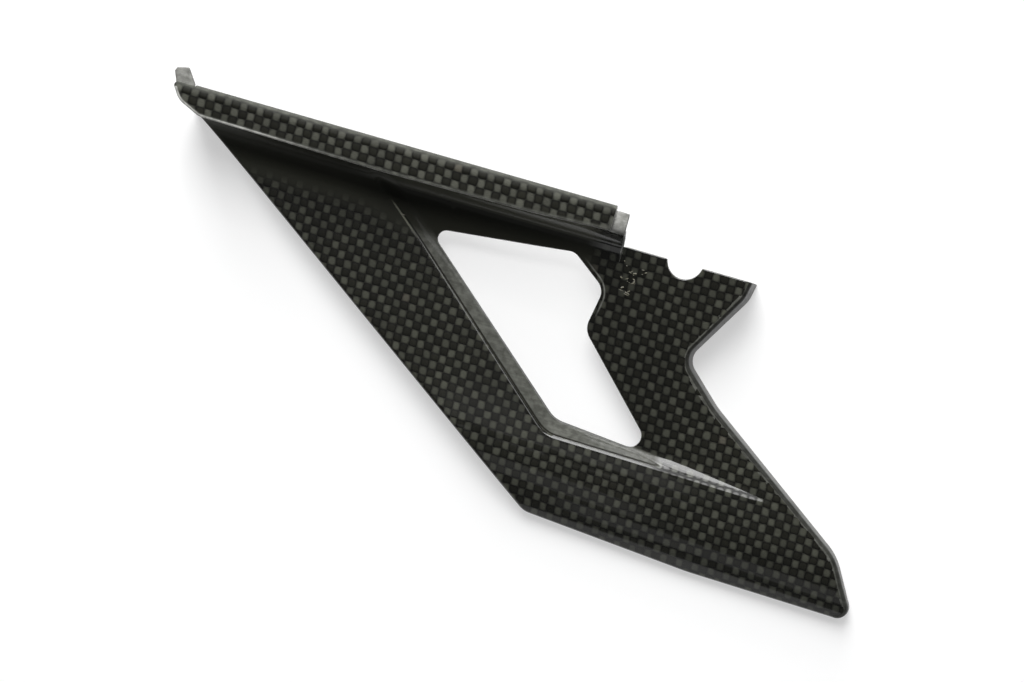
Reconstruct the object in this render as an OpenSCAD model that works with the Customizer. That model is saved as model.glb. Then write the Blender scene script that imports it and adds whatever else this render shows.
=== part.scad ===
// Chain guard for a motorcycle: a moulded laminate shell with a laminate strip
// bonded along its rail. The origin is the centre of the half-round bolt notch,
// midway through the lug. +X runs along the rail and +Z is outwards. Heights in
// the sections below are counted up from the trimmed base.

/* [Laminate] */
// Thickness of the moulded shell
wall = 1.5; // [1.2:0.1:2]
// Draft of the side walls, in degrees
draft = 3; // [1:0.5:5]
// Height of the raised band above the trimmed base
band_h = 9; // [8:0.5:11]

/* [Outline] */
// Elbow corner, along the rail
elbow_x = -22.5; // [-26:0.1:-19]
// Elbow corner, across the rail
elbow_y = -71.7; // [-74:0.1:-69]
// Radius of the elbow
elbow_r = 6; // [3:0.5:10]
// Lower tip, along the rail
tip_x = 65; // [62:0.1:70]
// Lower tip, across the rail
tip_y = -75.6; // [-78:0.1:-73]
// Radius of the lower tip
tip_r = 3; // [1.5:0.1:4]
// How far the bottom edge bows out between elbow and tip
bottom_bow = 1.2; // [0:0.1:2]
// Slope of the left edge against the rail, in degrees
left_slope = 34.6; // [33:0.1:36]
// Shoulder above the tip, along the rail
shoulder_x = 56.2; // [53:0.1:57]
// Shoulder above the tip, across the rail
shoulder_y = -60.3; // [-62:0.1:-59]
// Radius of the shoulder
shoulder_r = 15; // [8:1:20]
// Hip below the lug, along the rail
hip_x = 17.3; // [15.5:0.1:18]
// Hip below the lug, across the rail
hip_y = -33; // [-34:0.1:-32]
// Waist between lug and arm, along the rail
waist_x = 6.8; // [4.5:0.1:7]
// Waist between lug and arm, across the rail
waist_y = -23.3; // [-23.5:0.1:-21.5]
// Radius of the waist
waist_r = 4; // [3:0.5:7]

/* [Lug] */
// Height of the lug's face at the notch
lug_h = 14.2; // [13:0.1:15.5]
// Reach of the lug beyond the notch centre
lug_reach = 18.6; // [17:0.1:21]
// Height at which the lug's side turns in
lug_side = 5.2; // [4:0.1:7]
// Distance from the notch centre down to the trimmed top edge
lug_drop = 0.7; // [0.2:0.1:1.5]
// Diameter of the half-round bolt notch
notch_d = 9; // [6:0.1:11]

/* [Inner panel] */
// Tilt of the inner panel against the base, in degrees
panel_tilt = 10.1; // [9:0.1:11]
// Direction in which the inner panel rises, in degrees from the rail
panel_turn = 63.7; // [60:0.1:67]
// Width of the bevel between band and window
bevel_w = 3.8; // [3:0.1:4.5]
// Radius of the crease at the elbow
crease_r = 9; // [7:0.5:12]
// Radius of the roll that takes the bottom arm down to its edge
roll_r = 28; // [24:1:40]
// Width of that roll
roll_w = 16; // [10:1:18]

/* [Window] */
// Left edge of the window where it meets the bottom edge, along the rail
window_x = -21.3; // [-22.5:0.1:-20]
// Left edge of the window where it meets the bottom edge, across the rail
window_y = -47.1; // [-48:0.1:-46]
// Length of the window along the left arm
window_left = 57.5; // [50:0.5:58.5]
// Length of the window along the bottom arm
window_bottom = 27.3; // [24:0.1:29]
// Slope of the window's left edge against the rail, in degrees
window_slope = 40.7; // [39.5:0.1:42]
// Radius of the window at its upper left corner
window_r1 = 2.2; // [1.5:0.1:3]
// Radius of the window at the rail's right end
window_r2 = 4; // [2.5:0.1:5]
// Radius of the window at the right arm
window_r3 = 4.5; // [3:0.1:6]
// Radius of the window at its lower right corner
window_r4 = 3; // [2:0.1:3.5]
// Radius of the window at the elbow
window_r5 = 7; // [5:0.1:9]

/* [Rail] */
// Height of the rail's flange above the base
rail_h = 23.8; // [22.5:0.1:30]
// Distance from the notch centre up to the rail's web
web_y = 1.7; // [1.2:0.1:2.4]
// Radius of the fillet between panel and web
fillet_r = 8; // [6:0.5:9]
// Outer radius of the bend between web and flange
bend_r = 2.5; // [2:0.1:3]
// Width of the flange, measured from the web
flange_w = 5.5; // [5:0.1:9]
// Right end of the web and flange, from the notch centre
rail_end = -15.9; // [-17:0.1:-14.5]
// Left end of the flange, from the notch centre
rail_start = -134.1; // [-138:0.1:-132]
// Radius of the flange's left end
rail_end_r = 5; // [3:0.5:6]
// Reach of the bare tab above the strip
tab_reach = 3.7; // [2:0.1:6]
// Width of the bare tab at its base
tab_w = 4.9; // [4:0.1:8]

/* [Strip] */
// Thickness of the bonded strip
strip_t = 1.2; // [0.8:0.1:1.8]
// How far the strip stops short of the flange's right end
strip_short = 3.4; // [1:0.1:8]
// How far the strip stops short of the flange's left end
strip_inset = 0.4; // [0.2:0.1:1.5]
// How far the strip turns down over the flange's edge
strip_lip = 2.6; // [2:0.1:5]
// How far the strip's free edge overhangs the web at the left
strip_overhang = 1.3; // [0.4:0.1:1.8]
// How far the strip's free edge draws back at the right
strip_draw = 1.55; // [0:0.05:1.8]

/* [Hidden] */
$fn = 64;
arc_steps = 8;
far = 200;
below = 1;
rise_x = tan(panel_tilt) * cos(panel_turn);
rise_y = tan(panel_tilt) * sin(panel_turn);
top_y = 12;
base_z = wall / 2 / cos(panel_tilt) - lug_h;
flange_y = web_y + flange_w;
bevel_spread = tan(23);
strip_end = rail_end - strip_short;
strip_y = flange_y + strip_t;

elbow = [elbow_x, elbow_y];
tip = [tip_x, tip_y];
bottom_dir = atan2(tip_y - elbow_y, tip_x - elbow_x);
bow = (elbow + tip) / 2 + bottom_bow * [sin(bottom_dir), -cos(bottom_dir)];
bow_r = 60;
hip_r = 25;
lug_r = 8;
lug_lean = 3.2;
left_top = elbow + (top_y - elbow_y) * [-1 / tan(left_slope), 1];
lug_turn = [lug_reach - lug_lean * 0.375, -lug_side];
lug_top = [lug_turn[0] + lug_lean, top_y];

// Corners of the skirted outline, anticlockwise from the rail's left end
outline_corners = [
    left_top, elbow, bow, tip,
    [shoulder_x, shoulder_y], [hip_x, hip_y], [waist_x, waist_y],
    lug_turn, lug_top,
];
outline_radii = [0, elbow_r, bow_r, tip_r, shoulder_r, hip_r, waist_r, lug_r, 0];
skirted = [1, 1, 1, 1, 1, 1, 1, 1, 0];

// Corners of the window, anticlockwise from the elbow. Its other sides are given
// by length and slope, and the throat is the step between its arm and rail sides
bottom_fall = 4.6;
arm_side = 36.6;
arm_slope = 45.3;
rail_side = 37.8;
rail_slope = 6.3;
throat = [1.9, 10.9];
window_elbow = [window_x, window_y];
window_right = window_elbow + window_bottom * [cos(bottom_fall), -sin(bottom_fall)];
window_top = window_elbow + window_left * [-cos(window_slope), sin(window_slope)];
window_arm = window_right + arm_side * [-cos(arm_slope), sin(arm_slope)];
window_rail = window_top + rail_side * [cos(rail_slope), sin(rail_slope)];
window_corners = [
    window_elbow, window_right, window_arm,
    window_arm + throat, window_rail, window_top,
];
window_radii = [window_r5, window_r4, window_r3, window_r2, window_r2, window_r1];

// Foot and crease of the bevel. It starts at a point under the rail, follows the
// window and thins out to nothing where the band and the panel meet. The last
// three corners lie beyond the right arm
meet = [41, elbow_y + 19.4];
meet_gap = 0.3;
crease_start = [-79, web_y - 4.2];
start_gap = 0.5;
top_gap = [0.9, -0.8];
crease_top_gap = [-1.5 - bevel_w * 0.1, -3];
crease_elbow_gap = [-1.1, -0.25 - bevel_w];
crease_right_gap = [-1, -2.2];
crease_corners = [
    crease_start,
    window_top + crease_top_gap,
    window_elbow + crease_elbow_gap,
    window_right + crease_right_gap,
    meet,
    [far, meet[1] + far / 2], [far, far], [crease_start[0], far],
];
foot_corners = [
    crease_start + [start_gap, start_gap],
    window_top + top_gap,
    window_elbow,
    window_right,
    meet + [0, meet_gap],
    [far, meet[1] + meet_gap + far / 2], [far, far], [crease_start[0] + start_gap, far],
];
crease_top_r = 4;
foot_top_r = 2;
crease_radii = [0, crease_top_r, crease_r, 0, 0, 0, 0, 0];
foot_radii = [0, foot_top_r, window_r5, 0, 0, 0, 0, 0];
bevelled = [1, 1, 1, 1, 0, 0, 0, 0];

// Height of the inner panel's face
function panel_z(p) = lug_h + rise_x * p[0] + rise_y * p[1];

function unit(v) = v / norm(v);
function inward(a, b) = unit([a[1] - b[1], b[0] - a[0]]);
function wrap(list, i) = list[(i + len(list)) % len(list)];

// Where the line through a along u crosses the line through b along v
function meeting(a, u, b, v) =
    a + u * ((b - a)[0] * v[1] - (b - a)[1] * v[0]) / (u[0] * v[1] - u[1] * v[0]);

// The same corners with each side moved inwards by its own distance
function inset(corners, d) = [
    for (i = [0 : len(corners) - 1])
        let (a = wrap(corners, i - 1), b = corners[i], c = wrap(corners, i + 1))
        let (n = inward(a, b) * wrap(d, i - 1), m = inward(b, c) * d[i])
        meeting(a + n, b - a, b + m, c - b)
];

// Corners replaced by arcs
function rounded(corners, radii) = [
    for (i = [0 : len(corners) - 1])
        each radii[i] == 0 ? [corners[i]]
            : arc_at(wrap(corners, i - 1), corners[i], wrap(corners, i + 1), radii[i])
];
function arc_at(a, b, c, r) =
    let (u = unit(a - b), v = unit(c - b))
    let (half = acos(u * v) / 2)
    let (centre = b + unit(u + v) * r / sin(half))
    let (start = b + u * r / tan(half) - centre, end = b + v * r / tan(half) - centre)
    let (turn = cross(start, end) > 0 ? 180 - 2 * half : 2 * half - 180)
    [for (k = [0 : arc_steps]) centre + rotated(start, turn * k / arc_steps)];
function rotated(p, a) = [p[0] * cos(a) - p[1] * sin(a), p[0] * sin(a) + p[1] * cos(a)];

// Side walls between two outlines with the same number of points
function ring_sides(n) = [
    for (i = [0 : n - 1]) let (j = (i + 1) % n) each [[i, n + j, j], [i, n + i, n + j]]
];
module loft(low, high) {
    n = len(low);
    lower_face = [for (i = [0 : n - 1]) i];
    upper_face = [for (i = [n - 1 : -1 : 0]) n + i];
    polyhedron(concat(low, high), concat([lower_face, upper_face], ring_sides(n)), 10);
}
function at_height(points, z) = [for (p = points) [p[0], p[1], z]];

// Everything within the drafted side walls, each wall moved in by o
module drafted(o, z) {
    top = rail_h + 5;
    low = rounded(inset(outline_corners, skirted * (o + z * tan(draft))), outline_radii);
    high = rounded(inset(outline_corners, skirted * (o + top * tan(draft))), outline_radii);
    loft(at_height(low, z), at_height(high, top));
}

// Everything under the inner panel's face, moved in by o
module panel_solid(o) {
    translate([0, 0, lug_h])
        rotate([0, 0, panel_turn])
            rotate([0, -panel_tilt, 0])
                translate([-far, -far, -far / 2 - o])
                    cube([2 * far, 2 * far, far / 2]);
}

// The recess inside the crease, with its bevelled side
module recess(o) {
    crease = rounded(inset(crease_corners, bevelled * -o * bevel_spread), crease_radii);
    foot = rounded(inset(foot_corners, bevelled * -o * bevel_spread), foot_radii);
    deeper = 0.3;
    low = [
        for (i = [0 : len(foot) - 1])
            let (f = [foot[i][0], foot[i][1], panel_z(foot[i]) - o])
            let (c = [crease[i][0], crease[i][1], band_h - o])
            f[2] < c[2] ? f + (f - c) * deeper : [f[0], f[1], band_h - o - 0.1]
    ];
    loft(low, at_height(crease, band_h - o));
    translate([0, 0, band_h - o])
        linear_extrude(far)
            polygon(crease);
}

// Everything under the raised band's face, moved in by o
module band_solid(o) {
    difference() {
        translate([-far, -far, -far / 2])
            cube([2 * far, 2 * far, far / 2 + band_h - o]);
        recess(o);
    }
}

// What the rolled bottom edge takes away
module rolled_off(o) {
    translate([elbow_x, elbow_y, 0])
        rotate([90, 0, bottom_dir + 90])
            translate([0, 0, -far])
                linear_extrude(2 * far)
                    difference() {
                        translate([-far / 2, band_h - roll_r])
                            square([far / 2 + roll_w, far]);
                        translate([roll_w, band_h - roll_r])
                            circle(roll_r - o);
                    }
}

// Section of a fillet between a face of slope m and the web. It dips a little
// under the face that it rises from, so that it crosses that face cleanly
module fillet_section(o, foot_z, m) {
    rim = fillet_r + o + 2;
    dip = 0.02;
    foot_rise = fillet_r * (sqrt(1 + m * m) - m);
    centre = [web_y - fillet_r, foot_z + foot_rise - dip];
    to_face = [m, -1] / sqrt(1 + m * m);
    difference() {
        translate(centre)
            polygon([[0, 0], to_face * rim, (to_face + [1, 0]) * rim, [rim, 0]]);
        translate(centre)
            circle(fillet_r + o);
    }
}

// A section drawn in the plane across the rail, run along it
module along_rail(from, to) {
    translate([from, 0, 0])
        rotate([90, 0, 90])
            linear_extrude(to - from)
                children();
}

// Everything under the rail's face: web, flange and the fillets at the foot
module rail_solid(o) {
    normal_y = rise_y / sqrt(1 + rise_x * rise_x + rise_y * rise_y);
    intersection() {
        union() {
            along_rail(-far, far) {
                translate([web_y + o, -far / 2])
                    square([far, far / 2 + rail_h - bend_r]);
                translate([web_y + bend_r, 0])
                    square([far, rail_h - o]);
                translate([web_y + bend_r, rail_h - bend_r])
                    circle(bend_r - o);
                fillet_section(o, band_h, 0);
            }
            rotate([0, -atan(rise_x), 0])
                along_rail(-far, far)
                    fillet_section(o, panel_z([0, web_y]) * cos(atan(rise_x)),
                        normal_y / sqrt(1 - normal_y * normal_y));
        }
        translate([-far, -far, -far / 2])
            cube([far + rail_end, 2 * far, far]);
    }
}

// Everything under the outer face, moved in by o
module form(o) {
    intersection() {
        drafted(o, o > 0 ? -below : 0);
        difference() {
            union() {
                panel_solid(o);
                band_solid(o);
                rail_solid(o);
            }
            rolled_off(o);
        }
    }
}

// The laminate, between the outer face and the same face moved in by the wall
module sheet() {
    difference() {
        form(0);
        form(wall);
    }
}

// Outline of the flange: its left end slants down to the shell's left edge
module flange_outline() {
    slant = [2.4, web_y + 2.3];
    foot = [8.2, web_y - 0.6];
    corners = [
        [rail_start, strip_y], [rail_start + slant[0], slant[1]],
        [rail_start + foot[0], foot[1]], [rail_end, foot[1]], [rail_end, strip_y],
    ];
    polygon(rounded(corners, [0, rail_end_r, rail_end_r, 0, 0]));
}

// Bare tab that stands out beyond the strip at the rail's left end
module tab_outline() {
    left = rail_start + strip_inset;
    root = flange_y - 2;
    top = strip_y + tab_reach;
    taper = 3;
    lean = 1;
    nick = [0.4, 0.7];
    polygon([
        [left + 1.5, root], [left, strip_y], [left - lean, top - nick[1]],
        [left - lean + nick[0], top], [left + tab_w - taper, top - nick[0] / 2],
        [left + tab_w, strip_y], [left + tab_w, root],
    ]);
}

module flange_plate() {
    translate([0, 0, rail_h - wall])
        linear_extrude(wall)
            intersection() {
                union() {
                    intersection() {
                        flange_outline();
                        translate([-far, web_y + bend_r])
                            square([2 * far, flange_w - bend_r]);
                    }
                    tab_outline();
                    free_end();
                }
                translate([-far, -far / 2])
                    square([far + rail_end, far]);
            }
}

// The flange's rounded end, which runs on past the left edge of the shell
module free_end() {
    intersection() {
        flange_outline();
        polygon([
            [rail_start - 5, web_y - 3], [left_edge_x(web_y - 3) + 3, web_y - 3],
            [left_edge_x(flange_y) + 3, flange_y], [rail_start - 5, flange_y],
        ]);
    }
}
function left_edge_x(y) = elbow_x - (y - elbow_y) / tan(left_slope);

module window() {
    translate([0, 0, -below])
        linear_extrude(rail_h)
            polygon(rounded(window_corners, window_radii));
}

module shell() {
    color("#2b2c29")
        translate([0, 0, base_z])
            difference() {
                union() {
                    difference() {
                        sheet();
                        trimmed_off();
                    }
                    flange_plate();
                }
                window();
                notch();
                under_flange();
            }
}

// What the saw takes off beyond the flange and above the lug
module trimmed_off() {
    translate([-far, flange_y, -below])
        cube([2 * far, far, far]);
    translate([rail_end, -lug_drop, -below])
        cube([far, far, far]);
}

// Half-round seat for the bolt, square to the lug at mid-thickness
module notch() {
    translate([0, 0, -base_z])
        rotate([0, 0, panel_turn])
            rotate([0, -panel_tilt, 0])
                cylinder(h = 4 * wall, d = notch_d, center = true);
}

// Clears the side wall away where it would run on behind the web
module under_flange() {
    translate([-far, web_y + wall + 1, -below])
        cube([far + rail_end + below, far, rail_h - wall + below]);
}

// Section of the strip: flat on the flange, turned down over its edge
module strip_section() {
    outer_r = 2 * strip_t;
    top = rail_h + strip_t;
    difference() {
        union() {
            translate([-far, -far]) square([far + strip_y - outer_r, far + top]);
            translate([-far, -far]) square([far + strip_y, far + top - outer_r]);
            translate([strip_y - outer_r, top - outer_r]) circle(outer_r);
        }
        translate([-far, -far]) square([far + flange_y, far + rail_h]);
        translate([-far, -far]) square([2 * far, far + top - strip_lip]);
    }
}

// Outline of the strip: its free edge is nearest the web at the right end
module strip_outline() {
    left = rail_start + strip_inset;
    edge = web_y - strip_overhang;
    slant = [2.3, web_y + 2.4];
    foot = [8.2, edge + 0.7];
    straight = 48;
    drawn = 20;
    bend = 200;
    corners = [
        [left, strip_y], [left + slant[0], slant[1]], [left + foot[0], foot[1]],
        [left + foot[0] + straight, edge],
        [strip_end - drawn, edge + strip_draw * 0.35],
        [strip_end, edge + strip_draw], [strip_end, strip_y],
    ];
    polygon(rounded(corners, [0, rail_end_r, rail_end_r, bend, bend, 0, 0]));
}

module rail_strip() {
    color("#3a3b37")
        translate([0, 0, base_z])
            difference() {
                intersection() {
                    along_rail(rail_start, strip_end)
                        strip_section();
                    linear_extrude(2 * rail_h)
                        strip_outline();
                }
                translate([0, 0, rail_h - strip_lip])
                    linear_extrude(strip_lip)
                        tab_outline();
            }
}

shell();
rail_strip();
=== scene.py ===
import math

import bpy
import numpy as np
from mathutils import Matrix, Vector
from mathutils.geometry import delaunay_2d_cdt


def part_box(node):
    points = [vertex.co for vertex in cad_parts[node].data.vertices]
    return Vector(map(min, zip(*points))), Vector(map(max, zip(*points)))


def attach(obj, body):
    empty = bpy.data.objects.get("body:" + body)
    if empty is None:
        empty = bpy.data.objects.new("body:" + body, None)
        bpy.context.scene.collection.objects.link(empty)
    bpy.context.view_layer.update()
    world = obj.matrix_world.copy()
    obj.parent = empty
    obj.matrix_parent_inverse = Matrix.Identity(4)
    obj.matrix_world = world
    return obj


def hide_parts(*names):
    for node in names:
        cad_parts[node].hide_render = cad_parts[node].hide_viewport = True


# Looks for a moulded chain guard of woven laminate. Shell and strip are built
# as thin sheets over a flat plan in millimetres, and become metres at the end.

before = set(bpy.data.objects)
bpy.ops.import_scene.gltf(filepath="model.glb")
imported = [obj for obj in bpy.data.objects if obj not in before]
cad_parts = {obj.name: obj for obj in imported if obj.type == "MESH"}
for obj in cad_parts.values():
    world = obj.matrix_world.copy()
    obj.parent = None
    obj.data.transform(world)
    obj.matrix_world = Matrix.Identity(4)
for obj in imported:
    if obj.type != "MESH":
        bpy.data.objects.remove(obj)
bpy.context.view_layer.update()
millimetre = 0.001
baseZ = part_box("shell")[0].z / millimetre  # the trimmed base, below the notch centre
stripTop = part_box("rail_strip")[1].z / millimetre - baseZ

# The moulded shell: plan from the notch centre, heights from the base
shellForm = {
    "wall": 1.5, "draft": 3.0, "bandHeight": 9.0,
    "elbow": (-22.5, -71.7), "elbowRadius": 6.0,
    "tip": (65.0, -75.6), "tipRadius": 3.0, "bottomBow": 1.2, "bowRadius": 60.0, "leftSlope": 34.6,
    "shoulder": (56.2, -60.3), "shoulderRadius": 15.0,
    "hip": (17.3, -33.0), "hipRadius": 25.0,
    "waist": (6.8, -23.3), "waistRadius": 4.0,
    "lugHeight": 14.2, "lugReach": 18.6, "lugSide": 5.2, "lugLean": 3.2, "lugGap": 0.02,
    "lugRadius": 8.0, "lugDrop": 0.7, "notchRadius": 4.5, "notchShift": (-0.06, -0.12),
    "panelTilt": 10.1, "panelTurn": 63.7, "bevelWidth": 3.8,
    "rollRadius": 28.0, "rollWidth": 16.0, "rollFar": 0.35, "rollSoft": 0.4,
    # window: lower left corner, then sides and their slopes, round to the top
    "window": (-21.3, -47.1), "windowBottom": 27.3, "bottomSlope": -4.6, "windowRight": 36.6,
    "rightSlope": 45.3, "windowNeck": (1.9, 10.9), "windowTop": 37.8, "topSlope": 6.3,
    "windowLeft": 57.5, "windowSlope": 40.7, "windowRadii": (7.0, 3.0, 4.5, 4.0, 4.0, 2.2),
    # crease and foot of the bevel, from the window's corners; they meet at the right
    "creaseStart": (-79.0, -4.2), "creaseTop": (-1.88, -3.0), "creaseElbow": (-1.1, -0.25),
    "creaseRight": (-1.0, -2.2), "meet": (41.0, 19.4), "footStart": (2.2, 1.9), "footTop": (0.9, -0.8),
    "creaseRadius": 9.0, "runOutRadius": 30.0, "creaseReach": 12.0, "runOutFrom": 4.0, "runOutOver": 6.0,
    "railHeight": 23.8, "webY": 1.7, "filletRadius": 8.0, "bendRadius": 2.5, "webRise": 4.0,
    "flangeWidth": 5.5, "railEnd": -15.9, "railStart": -134.1, "webLean": 4.0,
    "tabReach": 3.7, "tabWidth": 4.9, "tabSlant": 2.4, "tabNose": ((-0.3, -0.6), (-0.9, -1.3)),
    "noseInset": 0.75, "railNose": ((1.9, 4.9), (3.1, 4.0)), "lugSlant": 0.7, "cornerCut": 0.4, "trimStep": 0.7,
    "edgeRound": 0.3, "thinEdge": 0.02, "shoulderRound": 1.0, "creaseRound": 0.7, "footRound": 2.6,
    "grid": 1.0, "fineGrid": 0.5, "fineReach": 1.6, "lineStep": 0.8, "windowStep": 0.6,
}

# The bonded strip
stripForm = {
    "thickness": 1.2, "short": 3.4, "inset": 0.4, "windowHighlight": 2.6, "overhang": 1.3,
    "draw": 1.55, "drawShare": 0.35, "drawFrom": 20.0, "noseStart": (2.3, 2.4), "noseEnd": (8.2, 0.7),
    "edgeFrom": 56.2, "edgeRound": 0.35, "endRadius": 5.0, "longRadius": 200.0, "grid": 1.0,
}


# Plan lines

def unit(v):
    return v / np.linalg.norm(v)


def unitRows(v):
    return v / np.linalg.norm(v, axis=1)[:, None]


def slopeVector(degrees):
    return np.array((math.cos(math.radians(degrees)), math.sin(math.radians(degrees))))


# Corners replaced by arcs
def roundedLine(corners, radii, step=0.5, closed=True):
    points = []
    count = len(corners)
    for i, corner in enumerate(corners):
        b = np.array(corner, float)
        if radii[i] == 0 or (not closed and i in (0, count - 1)):
            points.append(b)
            continue
        u = unit(np.array(corners[i - 1], float) - b)
        v = unit(np.array(corners[(i + 1) % count], float) - b)
        half = math.acos(np.clip(u @ v, -1, 1)) / 2
        centre = b + unit(u + v) * radii[i] / math.sin(half)
        start = b + u * radii[i] / math.tan(half) - centre
        end = b + v * radii[i] / math.tan(half) - centre
        turn = math.atan2(start[0] * end[1] - start[1] * end[0], start @ end)
        steps = max(2, math.ceil(abs(turn) * radii[i] / step))
        for k in range(steps + 1):
            c, s = math.cos(turn * k / steps), math.sin(turn * k / steps)
            points.append(centre + (start[0] * c - start[1] * s, start[0] * s + start[1] * c))
    return np.array(points)


# The same line with long sides split to the grid
def splitLine(points, step, closed=False):
    line = [np.array(p, float) for p in points]
    line += line[:1] if closed else []
    result = []
    for a, b in zip(line[:-1], line[1:]):
        parts = max(1, round(np.linalg.norm(b - a) / step))
        result += [a + (b - a) * k / parts for k in range(parts)]
    return np.array(result + ([] if closed else [line[-1]]))


# Unit vectors to the right of a line, which is outwards on an anticlockwise loop
def rightOf(points, closed=False):
    ahead = np.roll(points, -1, axis=0) - points
    back = points - np.roll(points, 1, axis=0)
    if not closed:
        ahead[-1] = back[-1]
        back[0] = ahead[0]
    both = unitRows(unitRows(ahead) + unitRows(back))
    return np.stack((both[:, 1], -both[:, 0]), axis=1)


# Distance from the nearest of some segments, positive on their left
def segmentDistance(points, a, d, block=2000):
    result = np.empty(len(points))
    for start in range(0, len(points), block):
        rel = points[start:start + block, None] - a[None]
        t = np.clip((rel * d).sum(2) / (d * d).sum(1), 0, 1)
        gap = np.linalg.norm(rel - t[..., None] * d, axis=2)
        near = gap.argmin(axis=1)
        rows = np.arange(len(near))
        cross = d[near, 0] * rel[rows, near, 1] - d[near, 1] * rel[rows, near, 0]
        result[start:start + block] = gap[rows, near] * np.where(cross >= 0, 1, -1)
    return result


def distanceFrom(points, line):
    return segmentDistance(points, line[:-1], line[1:] - line[:-1])


def insideLoop(points, loop, block=2000):
    a, b = loop, np.roll(loop, -1, axis=0)
    rise = np.where(b[:, 1] == a[:, 1], 1, b[:, 1] - a[:, 1])
    result = np.zeros(len(points), bool)
    for start in range(0, len(points), block):
        x, y = points[start:start + block, :1], points[start:start + block, 1:]
        spans = (a[:, 1] > y) != (b[:, 1] > y)
        cross = a[:, 0] + (y - a[:, 1]) / rise * (b[:, 0] - a[:, 0])
        result[start:start + block] = (spans & (x < cross)).sum(axis=1) % 2 == 1
    return result


def smoothMin(a, b, width):
    width = np.maximum(width, 1e-4)
    h = np.clip(0.5 + 0.5 * (b - a) / width, 0, 1)
    return b + (a - b) * h - width * h * (1 - h)


def smoothMax(a, b, width):
    return -smoothMin(-a, -b, width)


# Sheets

# Points on rows of triangles, off the plan's edges
def innerPoints(loops, pitch, wanted=None):
    low, high = loops[0].min(axis=0), loops[0].max(axis=0)
    rows = np.arange(low[1], high[1], pitch * 0.866)
    x, y = np.meshgrid(np.arange(low[0], high[0], pitch), rows)
    x = x + (np.arange(len(rows)) % 2)[:, None] * pitch / 2
    points = np.stack((x.ravel(), y.ravel()), axis=1)
    if wanted:
        points = points[wanted(points)]
    points = points[insideLoop(points, loops[0])]
    for hole in loops[1:]:
        points = points[~insideLoop(points, hole)]
    starts = np.concatenate(loops)
    sides = np.concatenate([np.roll(loop, -1, axis=0) for loop in loops]) - starts
    return points[np.abs(segmentDistance(points, starts, sides)) > pitch * 0.45]


# Triangles over a plan whose first loop runs anticlockwise and whose holes run
# clockwise. Returns the plan points, the triangles and each loop's indices
def planMesh(loops, inner):
    spans, first = [], 0
    for loop in loops:
        spans.append(range(first, first + len(loop)))
        first += len(loop)
    constraints = [(span[i], span[(i + 1) % len(span)]) for span in spans for i in range(len(span))]
    points = [Vector(p) for p in np.concatenate(loops + inner)]
    verts, _, faces, origins, _, _ = delaunay_2d_cdt(points, constraints, [], 0, 1e-6)
    home = {source: i for i, sources in enumerate(origins) for source in sources}
    rings = [[home[i] for i in span] for span in spans]
    sides = {(face[i], face[(i + 1) % 3]): k for k, face in enumerate(faces) for i in range(3)}
    fence = {(ring[i - 1], ring[i]) for ring in rings for i in range(len(ring))}
    inside = {sides[edge] for edge in fence}
    waiting = list(inside)
    while waiting:
        face = faces[waiting.pop()]
        for i in range(3):
            a, b = face[i], face[(i + 1) % 3]
            other = sides.get((b, a))
            if (a, b) not in fence and other is not None and other not in inside:
                inside.add(other)
                waiting.append(other)
    return np.array([tuple(v) for v in verts]), np.array([faces[k] for k in sorted(inside)]), rings


def facing(place, plan, gap=0.01):
    side = np.array((gap, 0))
    up = np.array((0, gap))
    across = place(plan + side, plan) - place(plan - side, plan)
    along = place(plan + up, plan) - place(plan - up, plan)
    return unitRows(np.cross(across, along)), across, along


# Chain of points round a free edge, from the outer face to the inner one
def rimChain(top, bottom, normal, out, radius):
    angles = np.radians((30, 60, 90))
    outer = [top + out * radius * math.sin(a) - normal * radius * (1 - math.cos(a)) for a in angles]
    inner = [bottom + out * radius * math.sin(a) + normal * radius * (1 - math.cos(a)) for a in angles]
    chain = [top] + outer + inner[::-1] + [bottom]
    down = [normal * math.cos(a) + out * math.sin(a) for a in (0, *angles)]
    under = [-normal * math.cos(a) + out * math.sin(a) for a in (*angles[::-1], 0)]
    return chain, down + under


# Walls that stand on a drafted side: round the shoulder, down to the base and
# back up the inside. Every chain has the same number of points
def skirtChains(top, bottom, normal, out, form):
    draft, radius, wall = math.radians(form["draft"]), form["shoulderRound"], form["wall"]
    windowHighlight = 0.2
    flat = np.concatenate((out, np.zeros((len(out), 1))), axis=1)
    wallNormal = flat * math.cos(draft) + np.array((0, 0, math.sin(draft)))
    centre = top - normal * radius
    points, facings = [], []
    for t in (0, 0.25, 0.5, 0.75, 1):
        way = unitRows(normal * (1 - t) + wallNormal * t)
        points.append(centre + way * radius)
        facings.append(way)
    head = points[-1]
    foot = head + flat * math.tan(draft) * head[:, 2:]
    foot[:, 2] = 0
    down = np.array((0, 0, -1.0))
    for t in (0.4, 0.8):
        points.append(head * (1 - t) + foot * t)
        facings.append(wallNormal)
    rise = np.array((0, 0, windowHighlight))
    points += [foot + rise, foot - flat * windowHighlight, foot - flat * (wall - windowHighlight), foot - flat * wall + rise]
    facings += [wallNormal, flat * 0 + down, flat * 0 + down, -flat]
    inside = points[-1]
    points += [inside * 0.5 + bottom * 0.5, bottom]
    facings += [-flat, -normal]
    return np.stack(points, axis=1), np.stack(facings, axis=1)


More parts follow.
